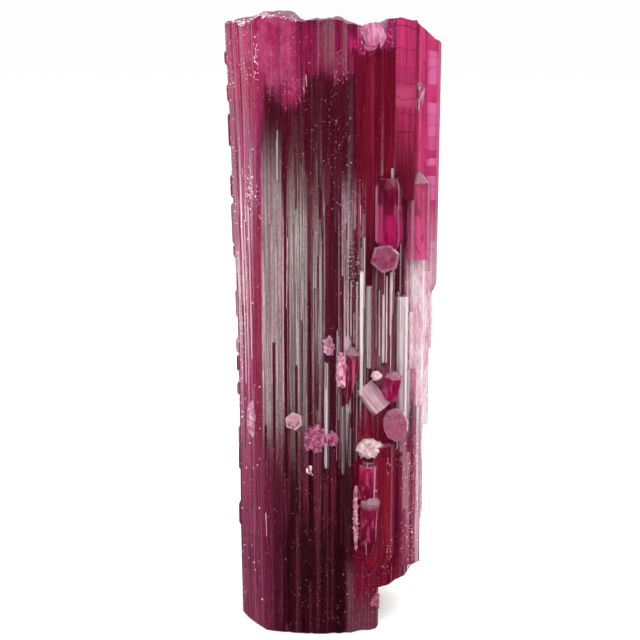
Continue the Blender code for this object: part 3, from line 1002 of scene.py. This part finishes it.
needleLook = {
    "silver": (0.49, 0.395, 0.42),
    "wine": (0.15, 0.02, 0.045),
    "silverSpan": (0.35, 0.6),  # bars from wine to silver
    "transmission": 0.55,
    "absorb": (0.96, 0.70, 0.82),
    "density": 80,
    "bars": dict(width=0.16, length=12.0),
    "wideBars": dict(width=0.55, length=60.0, seed=7.0),
    "wideTone": (0.2, 0.8, 0.35, 1.7),
    "streaks": dict(width=0.4, length=10.0),
    "streakTone": (0.7, 1.3),
    "rough": (0.35, 0.65, 0.05, 0.25),
    "bump": (0.2, 0.00002),
    "turnStep": 13,
    "facets": dict(strip=0.3, tilt=5),
    # x, y, low, high, radius, point
    "rows": [
        (3.15, -11.35, 43.0, 47.5, 0.16, 0.5), (3.4, -11.35, 26.0, 37.2, 0.26, 0.6),
        (4.75, -10.75, 36.5, 50.0, 0.2, 0.6), (6.3, -10.4, 42.0, 56.5, 0.12, 0.5),
        (7.3, -10.3, 40.0, 54.0, 0.2, 0.5), (8.35, -10.1, 38.5, 53.0, 0.2, 0.6),
        (1.7, -11.5, 24.0, 34.0, 0.28, 0.5), (2.6, -11.45, 25.0, 33.0, 0.2, 0.5),
        (0.9, -11.65, 26.0, 45.0, 0.24, 0.6), (-0.6, -11.75, 25.0, 40.5, 0.4, 0.7),
        (4.6, -11.0, 48.0, 58.0, 0.11, 0.6), (2.1, -11.4, 44.0, 60.0, 0.12, 0.5),
        (-7.5, -11.2, 66.0, 74.3, 0.14, 0.7), (-1.1, -11.74, 46.0, 63.0, 0.07, 0.6),
        (3.85, -11.25, 36.0, 47.0, 0.12, 0.6), (5.0, -10.7, 39.5, 45.0, 0.14, 0.6),
        (6.75, -10.35, 41.0, 50.5, 0.13, 0.6), (7.75, -10.2, 40.0, 52.5, 0.12, 0.6),
        (2.75, -11.4, 44.0, 52.0, 0.16, 0.5), (9.3, -9.3, 27.0, 50.0, 0.26, 0.6),
        (8.5, -9.75, 62.0, 67.5, 0.3, 0.8),
    ],
}


def needleMaterial():
    look = needleLook
    material, add, place = startMaterial("silveryNeedle")
    bars = grouped(add, "striae", place=place, **look["bars"])[0]
    wide = grouped(add, "striae", place=place, **look["wideBars"])[0]
    streak = grouped(add, "streaks", place=place, **look["streaks"])
    colour = mixColour(add, remap(add, bars, *look["silverSpan"]), look["wine"], look["silver"])
    colour = scaled(add, colour, remap(add, wide, *look["wideTone"]))
    colour = withStreaks(add, colour, streak, look["streakTone"])
    finish(add, look, colour, streak["Tone"], streak["Fine"])
    return material


def makeNeedles():
    look = needleLook
    first, *others = [
        prism("needle", (x, y, low), radius, high - low, cap=radius, foot=radius, point=point,
              turn=look["turnStep"] * index, seed=index, **look["facets"])
        for index, (x, y, low, high, radius, point) in enumerate(look["rows"])
    ]
    needles = joinSolids("needles", first, others)
    needles.data.materials.append(needleMaterial())
    grown(needles)


cloudyLook = {
    "pale": (0.97, 0.86, 0.90),
    "pink": (0.80, 0.38, 0.52),
    "speck": (0.98, 0.95, 0.96),
    "transmission": 0.5,
    "absorb": (0.99, 0.90, 0.95),
    "density": 50,
    "bars": dict(width=0.26, length=7.0),
    "barTone": (0.1, 0.5, 0.3, 1.0),
    "streaks": dict(width=0.8, length=7.0),
    "cloudSpan": (0.38, 0.6),
    "streakTone": (0.88, 1.15),
    "specks": dict(spacing=0.5, size=0.2, share=0.2),
    "rough": (0.35, 0.65, 0.15, 0.4),
    "bump": (0.35, 0.00003),
    "turnStep": 17,
    "firstSeed": 60,
    "facets": dict(cap=0.15, foot=0.3, point=0.8, strip=0.25, tilt=10),
    # x, y, low, high, radius, sides
    "columns": [
        (12.0, -7.35, 33.0, 55.5, 1.2, 8), (13.1, -6.1, 30.0, 52.5, 0.95, 8),
        (13.9, -4.9, 41.0, 66.0, 0.6, 7), (11.2, -8.25, 27.0, 47.0, 0.5, 7), (12.7, -6.7, 16.0, 34.0, 0.6, 7),
    ],
}


def cloudyMaterial():
    look = cloudyLook
    material, add, place = startMaterial("cloudyTourmaline")
    bars = grouped(add, "striae", place=place, **look["bars"])[0]
    streak = grouped(add, "streaks", place=place, **look["streaks"])
    cloud = remap(add, streak["Tone"], *look["cloudSpan"])
    pale = maths(add, "MULTIPLY", cloud, remap(add, bars, *look["barTone"]))
    colour = mixColour(add, pale, look["pink"], look["pale"])
    colour = withStreaks(add, colour, streak, look["streakTone"])
    colour = withSpecks(add, colour, place, look)
    finish(add, look, colour, streak["Fine"], streak["Fine"])
    return material


def makeCloudyColumns():
    look = cloudyLook
    first, *others = [
        prism("cloudy", (x, y, low), radius, high - low, sides=sides,
              turn=look["turnStep"] * index, seed=look["firstSeed"] + index, **look["facets"])
        for index, (x, y, low, high, radius, sides) in enumerate(look["columns"])
    ]
    columns = joinSolids("cloudyColumns", first, others)
    columns.data.materials.append(cloudyMaterial())
    grown(columns)


crustLook = {
    "streaks": dict(width=0.7, length=0.9),
    "paleSpan": (0.4, 0.6),
    "streakTone": (0.7, 1.25),
    "rough": (0.35, 0.65, 0.12, 0.4),
    "bump": (0.4, 0.00004),
    "swell": 0.94,
    "lumps": [(0.3, 1.9), (0.14, 5.5)],  # how high and how close together
    "seedShift": (3.7, 1.9, 2.3),
    "facing": 0.3,  # share of the depth behind which no grain grows
    "grainSizes": (0.5, 1.1),
    "grainSides": 5,
}

crusts = {
    # place and size, number and size of the grains on it, pale and deep colours
    "whiteLump": {
        "at": (5.45, -11.0, 27.6), "size": (1.95, 1.5, 1.5), "grains": 60, "grain": 0.13,
        "pale": (0.56, 0.43, 0.43), "deep": (0.42, 0.24, 0.27),
    },
    "druse": {
        "at": (-2.2, -11.7, 29.4), "size": (1.5, 1.0, 2.0), "grains": 170, "grain": 0.24,
        "pale": (0.44, 0.15, 0.25), "deep": (0.20, 0.012, 0.06),
    },
    "druseRight": {
        "at": (0.0, -11.75, 29.3), "size": (1.0, 0.8, 1.0), "grains": 90, "grain": 0.2,
        "pale": (0.42, 0.14, 0.24), "deep": (0.18, 0.012, 0.055),
    },
    "knob": {
        "at": (-0.4, -11.8, 42.7), "size": (0.75, 0.8, 1.3), "grains": 70, "grain": 0.24,
        "pale": (0.50, 0.28, 0.37), "deep": (0.26, 0.05, 0.12),
    },
    "roughSide": {
        "at": (1.5, -11.8, 39.3), "size": (0.85, 1.1, 2.5), "grains": 70, "grain": 0.16,
        "pale": (0.66, 0.38, 0.48), "deep": (0.36, 0.06, 0.15),
    },
    "whiteCap": {
        "at": (6.35, -10.9, 38.3), "size": (0.8, 0.8, 0.65), "grains": 24, "grain": 0.12,
        "pale": (0.66, 0.52, 0.55), "deep": (0.42, 0.22, 0.28),
    },
    "rim": {
        "at": (3.5, -12.0, 17.6), "size": (0.34, 0.7, 5.0), "grains": 160, "grain": 0.17,
        "pale": (0.56, 0.32, 0.38), "deep": (0.34, 0.05, 0.11),
    },
    "footLump": {
        "at": (5.8, -9.3, 4.0), "size": (1.3, 1.0, 2.0), "grains": 16, "grain": 0.2,
        "pale": (0.32, 0.09, 0.15), "deep": (0.15, 0.01, 0.04),
    },
    "leftPatch": {
        "at": (-11.35, -7.9, 31.2), "size": (0.75, 0.3, 2.5), "grains": 120, "grain": 0.12,
        "pale": (0.56, 0.38, 0.43), "deep": (0.36, 0.10, 0.18),
    },
}


def crustMaterial(name, crust):
    look = crustLook
    material, add, place = startMaterial(name + "Crust")
    streak = grouped(add, "streaks", place=place, **look["streaks"])
    colour = mixColour(add, remap(add, streak["Tone"], *look["paleSpan"]), crust["deep"], crust["pale"])
    colour = withStreaks(add, colour, streak, look["streakTone"])
    finish(add, look, colour, streak["Fine"], streak["Fine"])
    return material


def addSplinter(bm, at, size, rng, sides=4):
    # one small pointed grain with a random lean
    turned = Matrix.Rotation(rng.uniform(0, math.tau), 4, "Z")
    spin = turned @ Matrix.Rotation(rng.uniform(0, math.pi), 4, "X")
    bmesh.ops.create_cone(
        bm, cap_ends=True, segments=sides, radius1=size, radius2=size * rng.uniform(0.1, 0.6),
        depth=size * rng.uniform(1.2, 2.4), matrix=Matrix.Translation(at) @ spin,
    )


def makeCrusts():
    look = crustLook
    for seed, (name, crust) in enumerate(crusts.items(), 1):
        rng = random.Random(seed)
        shift = Vector([seed * step for step in look["seedShift"]])
        at, size = Vector(crust["at"]) * mm, Vector(crust["size"]) * mm
        bm = bmesh.new()
        bmesh.ops.create_icosphere(bm, subdivisions=4, radius=1.0)
        for vert in bm.verts:
            push = sum(high * noise.noise(vert.co * close + shift) for high, close in look["lumps"])
            vert.co = at + vert.co * (look["swell"] + push) * size
        skin = [vert.co.copy() for vert in bm.verts if vert.co.y < at.y + look["facing"] * size.y]
        for index in range(crust["grains"]):
            spot = rng.choice(skin)
            grain = crust["grain"] * mm * rng.uniform(*look["grainSizes"])
            addSplinter(bm, spot, grain, rng, look["grainSides"])
        grown(newObject(name, bm, crustMaterial(name, crust)))


grainLook = {
    "white": (0.95, 0.90, 0.92),
    "pink": (0.86, 0.50, 0.62),
    "patchNoise": (1.3, 1.0),
    "patchSpan": (0.42, 0.6),
    "rough": (0.4, 0.6, 0.08, 0.25),
    "bump": (0.2, 0.00003),
    "seed": 77,
    "sink": 0.2,  # share of a grain's size inside the surface
    # patches on the front: left, right, low, high, count, smallest, largest
    "front": [
        (-13.0, 7.0, 1, 30, 480, 0.016, 0.037), (-14.5, -9.5, 30, 87, 200, 0.015, 0.045),
        (-9.5, 4.0, 30, 80, 260, 0.012, 0.035), (-10.7, -10.0, 79, 86, 30, 0.04, 0.11),
        (-14.6, -11.0, 78, 86, 40, 0.03, 0.08), (-9.0, -3.0, 76, 86, 60, 0.02, 0.045),
        (10.0, 13.6, 10, 52, 460, 0.025, 0.065), (-12.3, -9.8, 59, 66, 50, 0.03, 0.08),
        (-12.0, -10.9, 63, 66.5, 50, 0.05, 0.11), (-13.6, -11.8, 40, 54, 140, 0.03, 0.07),
        (1.8, 3.9, 44, 56, 90, 0.03, 0.07), (-1.2, 3.0, 62, 78, 60, 0.03, 0.05),
        (1.0, 4.6, 50, 66, 150, 0.02, 0.045), (0.3, 2.3, 79, 84, 30, 0.02, 0.05),
        (3.8, 9.0, 83, 88, 60, 0.02, 0.06), (7.6, 12.6, 24, 27, 40, 0.03, 0.06),
        (-3.6, -2.6, 23.9, 25.2, 30, 0.06, 0.13), (7.3, 8.8, 8, 14, 24, 0.03, 0.07),
        (-8.2, 3.0, 55, 78, 130, 0.015, 0.04),
    ],
    # bands on the left edge: low, high, count, smallest, largest
    "edge": [
        (1, 86, 260, 0.03, 0.09), (52, 66, 40, 0.08, 0.16), (30, 42, 40, 0.08, 0.2), (76, 86, 40, 0.06, 0.15),
    ],
    "edgeDepth": (-4.5, 2),
    # over the sides and the back
    "around": 600,
    "aroundAngle": (-0.8, 3.9),
    "aroundHeight": (1, 86),
    "aroundSize": (0.04, 0.12),
    # chips along the broken top: left, right, front, back, count, smallest, largest
    "rim": [
        (-15.3, -9.0, -12, 4, 230, 0.10, 0.26), (-9.0, -3.0, -12, 4, 120, 0.07, 0.17),
        (-3.0, 15.0, -12, 4, 200, 0.04, 0.12), (-15.0, -8.0, -11.5, -5.5, 260, 0.08, 0.22),
        (-8.0, 14.0, -12.5, -9.0, 160, 0.05, 0.12),
    ],
    "rimSink": 0.7,
    "above": 120,  # height that the chips drop from
}


def grainMaterial():
    look = grainLook
    material, add, place = startMaterial("whiteGrain")
    patch = noiseTone(add, place, *look["patchNoise"])
    colour = mixColour(add, remap(add, patch, *look["patchSpan"]), look["pink"], look["white"])
    finish(add, look, colour, patch, patch)
    return material


def makeGrains(surface):
    look = grainLook
    rng = random.Random(look["seed"])
    bm = bmesh.new()

    def drop(start, heading, size, sink=look["sink"]):
        hit, normal, _, _ = surface.ray_cast(start * mm, heading)
        if hit:
            addSplinter(bm, hit - normal * size * mm * sink, size * mm, rng)

    for left, right, low, high, count, small, large in look["front"]:
        for index in range(count):
            start = Vector((rng.uniform(left, right), -outside, rng.uniform(low, high)))
            drop(start, Vector((0, 1, 0)), rng.uniform(small, large))
    for low, high, count, small, large in look["edge"]:
        for index in range(count):
            start = Vector((-outside, rng.uniform(*look["edgeDepth"]), rng.uniform(low, high)))
            drop(start, Vector((1, 0, 0)), rng.uniform(small, large))
    for index in range(look["around"]):
        angle = rng.uniform(*look["aroundAngle"])
        across, back = math.cos(angle), math.sin(angle)
        start = Vector((outside * across, outside * back, rng.uniform(*look["aroundHeight"])))
        drop(start, Vector((-across, -back, 0)), rng.uniform(*look["aroundSize"]))
    for left, right, front, back, count, small, large in look["rim"]:
        for index in range(count):
            start = Vector((rng.uniform(left, right), rng.uniform(front, back), look["above"]))
            drop(start, Vector((0, 0, -1)), rng.uniform(small, large), look["rimSink"])
    grown(newObject("grains", bm, grainMaterial()))


paleLines = {
    "width": 0.028,
    "narrow": 0.5,  # share of the width at the far end
    "sides": 5,
    # x and z of one end, x and z of the other
    "rows": [
        (-12.5, 67.2, -11.8, 56.5), (-11.6, 67.6, -11.2, 66.9), (-6.1, 58.0, -6.3, 48.0),
        (-12.9, 49.0, -12.5, 52.5), (-3.5, 80.4, -3.4, 78.8), (-10.2, 84.5, -10.5, 82.2),
        (-10.6, 82.2, -9.9, 81.6), (-12.0, 81.9, -12.4, 80.9), (10.6, 71.0, 10.7, 67.0),
        (-9.4, 17.8, -9.3, 14.2), (12.1, 79.1, 12.0, 75.5), (12.1, 79.1, 12.9, 78.5),
        (12.9, 78.5, 12.6, 76.0), (6.4, 21.5, 6.0, 24.5), (8.6, 51.5, 8.5, 46.0), (12.5, 19.0, 12.4, 26.0),
        (-13.2, 63.0, -13.1, 60.0), (4.0, 62.5, 4.1, 58.0),
    ],
}


def makePaleLines(surface):
    # thin pale seams on the front
    bm = bmesh.new()
    width = paleLines["width"] * mm
    for x, z, farX, farZ in paleLines["rows"]:
        near, far = frontAt(surface, x, z), frontAt(surface, farX, farZ)
        if near and far:
            run = far - near
            spin = run.to_track_quat("Z", "Y").to_matrix().to_4x4()
            bmesh.ops.create_cone(
                bm, cap_ends=True, segments=paleLines["sides"], radius1=width, depth=run.length,
                radius2=width * paleLines["narrow"], matrix=Matrix.Translation((near + far) / 2) @ spin,
            )
    grown(newObject("paleLines", bm, bpy.data.materials["whiteGrain"]))


plateLook = {
    "streaks": dict(width=0.5, length=1.4),
    "tintSpan": (0.42, 0.58),
    "transmission": 0.5,
    "rough": (0.35, 0.65, 0.08, 0.25),
    "bump": (0.4, 0.00006),
    "thick": 0.7,
    "stand": 0.06,
    "inset": 0.12,
    "crown": 0.07,
    "nowhere": -9.0,  # y of a corner with no surface behind it
}

plates = {
    # broken plates that lie in the front: corners in x and z, how far back, colours
    "chipTongue": {
        "corners": [
            (4.3, 87.0), (5.4, 87.3), (6.9, 86.8), (7.5, 85.2), (6.9, 84.2), (6.5, 83.2), (6.0, 82.3),
            (5.3, 82.9), (4.8, 84.2), (4.3, 85.3),
        ],
        "back": -0.04, "tint": (0.80, 0.40, 0.54), "shade": (0.62, 0.12, 0.30),
    },
    "sliver": {
        "corners": [
            (11.9, 79.2), (12.5, 79.0), (13.0, 78.4), (12.6, 77.3), (12.3, 76.3), (12.0, 75.0), (11.9, 76.5),
        ],
        "back": -0.15, "tint": (0.90, 0.66, 0.74), "shade": (0.50, 0.08, 0.20),
    },
}


def plateMaterial(name, plate):
    look = plateLook
    material, add, place = startMaterial(name + "Plate")
    streak = grouped(add, "streaks", place=place, **look["streaks"])
    colour = mixColour(add, remap(add, streak["Tone"], *look["tintSpan"]), plate["shade"], plate["tint"])
    finish(add, look, colour, streak["Fine"], streak["Tone"])
    return material


def makePlates(surface):
    look = plateLook
    for name, plate in plates.items():
        hits = [frontAt(surface, x, z) for x, z in plate["corners"]]
        fronts = sorted(hit.y / mm if hit else look["nowhere"] for hit in hits)
        front = fronts[len(fronts) // 2] + plate["back"] - look["stand"]
        bm = bmesh.new()
        face = bm.faces.new([bm.verts.new(Vector((x, front, z)) * mm) for x, z in plate["corners"]])
        for vert in madeVerts(bmesh.ops.extrude_face_region(bm, geom=[face])):
            vert.co.y += look["thick"] * mm
        bmesh.ops.inset_region(bm, faces=[face], thickness=look["inset"] * mm, depth=0.0)
        for vert in face.verts:
            vert.co.y -= look["crown"] * mm
        bmesh.ops.triangulate(bm, faces=bm.faces)
        grown(newObject(name, bm, plateMaterial(name, plate)))


studio = {
    "floorReach": 1.2,
    "floorDrop": 0.15,
    "floorColour": (0.99, 0.99, 0.99),
    "floorRoughness": 0.6,
    # light of the room: axis, from, to, brightness at each
    "behind": ("Y", -0.1, 0.45, 0.02, 1.15),
    "overhead": ("Z", 0.35, 0.8, 0.0, 1.85),
    "below": ("Z", -0.75, -0.15, 0.12, 1.0),
    # edges of a wide low card in front, which the flat faces mirror
    "card": [
        ("Z", -0.25, -0.21, 0.0, 1.0), ("Z", -0.17, -0.10, 1.0, 0.0), ("X", -0.20, -0.12, 0.0, 1.0),
        ("X", 0.12, 0.20, 1.0, 0.0), ("Y", -0.5, -0.4, 5.0, 0.0),
    ],
    "mirrored": 0.3,  # share of the room that shows in reflections
    "backdrop": (0.985, 0.985, 0.985),
    # place, size, power, seen in reflections
    "lamps": {
        "leftSoft": ((-0.45, 0.25, 0.17), (0.3, 0.46), 0.45, True),
        "rightSoft": ((0.45, 0.25, 0.14), (0.3, 0.8), 2.5, True),
        "topSoft": ((0.0, -0.4, 0.5), (0.8, 0.6), 5.5, False),
    },
    "lampAim": (0, 0, 0.05),
    "cameraDistance": 0.25,
    "cameraElevation": 12.0,
    "cameraAim": (-0.0016, 0.0, 0.044),
    "cameraReach": (0.01, 50),
    "focalPixels": 1706,
    "framePixels": 640,
}


def makeFloor():
    bm = bmesh.new()
    bmesh.ops.create_grid(bm, x_segments=1, y_segments=1, size=studio["floorReach"])
    bmesh.ops.translate(bm, verts=bm.verts, vec=(0, 0, -studio["floorDrop"] * mm))
    material = bpy.data.materials.new("paleFloor")
    add = clearedTree(material)
    shader = add("ShaderNodeBsdfPrincipled", {
        "Base Color": studio["floorColour"], "Roughness": studio["floorRoughness"],
    })
    add("ShaderNodeOutputMaterial", {"Surface": shader.outputs[0]})
    floor = newObject("floor", bm, material)
    floor.visible_glossy = False
    floor.visible_transmission = False


def makeRoom():
    scene.world = bpy.data.worlds.new("studio")
    add = clearedTree(scene.world)
    split = add("ShaderNodeSeparateXYZ", {0: add("ShaderNodeTexCoord").outputs["Generated"]}).outputs

    def ramp(axis, *spans):
        return remap(add, split[axis], *spans, interpolation_type="SMOOTHSTEP")

    # bright behind and overhead, dim in front and below
    glow = maths(add, "MAXIMUM", ramp(*studio["behind"]), ramp(*studio["overhead"]))
    glow = maths(add, "MULTIPLY", glow, ramp(*studio["below"]))
    card, *edges = [ramp(*edge) for edge in studio["card"]]
    for edge in edges:
        card = maths(add, "MULTIPLY", card, edge)
    # black flags keep the rest of the bright room out of the mirrored light
    ray = add("ShaderNodeLightPath").outputs
    passing = maths(add, "SUBTRACT", 1.0, ray["Is Transmission Ray"])
    mirrored = maths(add, "MULTIPLY", ray["Is Glossy Ray"], passing)
    flags = remap(add, mirrored, 0.0, 1.0, 1.0, studio["mirrored"])
    glow = maths(add, "ADD", maths(add, "MULTIPLY", glow, flags), card)
    around = add("ShaderNodeBackground", {"Strength": glow}).outputs[0]
    seen = add("ShaderNodeBackground", {"Color": studio["backdrop"]}).outputs[0]
    choose = add("ShaderNodeMixShader", {0: ray["Is Camera Ray"], 1: around, 2: seen})
    add("ShaderNodeOutputWorld", {"Surface": choose.outputs[0]})


def makeLamps():
    for name, (place, size, power, glossy) in studio["lamps"].items():
        data = bpy.data.lights.new(name, "AREA")
        data.shape = "RECTANGLE"
        data.size, data.size_y = size
        data.energy = power
        lamp = bpy.data.objects.new(name, data)
        scene.collection.objects.link(lamp)
        lamp.location = place
        lamp.rotation_euler = (Vector(studio["lampAim"]) - Vector(place)).to_track_quat("-Z", "Y").to_euler()
        lamp.visible_camera = False
        lamp.visible_glossy = glossy


def makeCamera():
    camera = bpy.data.cameras.new("camera")
    camera.lens = studio["focalPixels"] / studio["framePixels"] * camera.sensor_width
    camera.clip_start, camera.clip_end = studio["cameraReach"]
    stand = bpy.data.objects.new("camera", camera)
    scene.collection.objects.link(stand)
    lift = math.radians(studio["cameraElevation"])
    back = Vector((0, -math.cos(lift), math.sin(lift))) * studio["cameraDistance"]
    stand.location = Vector(studio["cameraAim"]) + back
    stand.rotation_euler = (math.pi / 2 - lift, 0, 0)
    scene.camera = stand
    scene.view_settings.view_transform = "Standard"


body = makeBody()
surface = surfaceOf(body)
makeSmallCrystals()
makeNeedles()
makeCloudyColumns()
makeCrusts()
makeGrains(surface)
makePaleLines(surface)
makePlates(surface)
makeFloor()
makeRoom()
makeLamps()
makeCamera()
print("studio ready")
